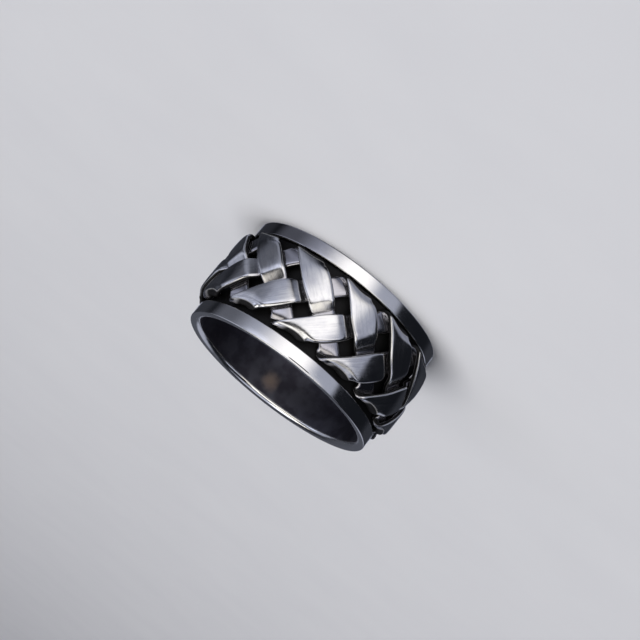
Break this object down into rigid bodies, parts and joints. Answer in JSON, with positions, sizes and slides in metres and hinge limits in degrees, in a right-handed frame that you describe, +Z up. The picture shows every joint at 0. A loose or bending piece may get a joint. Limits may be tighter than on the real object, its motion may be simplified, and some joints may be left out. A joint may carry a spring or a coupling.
{
  "type": "braided band ring",
  "caption": "Wide silver finger ring: a sleeve with two raised rims and a braid of flat strands in the blackened channel between them.",
  "frame": {"origin": "on the finger axis, in the plane of the lower rim face that the ring lies on", "axes": "+Z up along the finger axis; -Y towards the side that the picture shows"},
  "size_m": [0.0232, 0.0232, 0.0115],
  "materials": {
    "band_silver": "polished sterling silver, fine scratches, blackened in the channel",
    "braid_silver": "polished sterling silver, blackened in the gaps"
  },
  "bodies": {
    "root": {"channel_band": "band_silver", "strand_1": "braid_silver", "strand_2": "braid_silver", "strand_3": "braid_silver"}
  },
  "joints": []
}
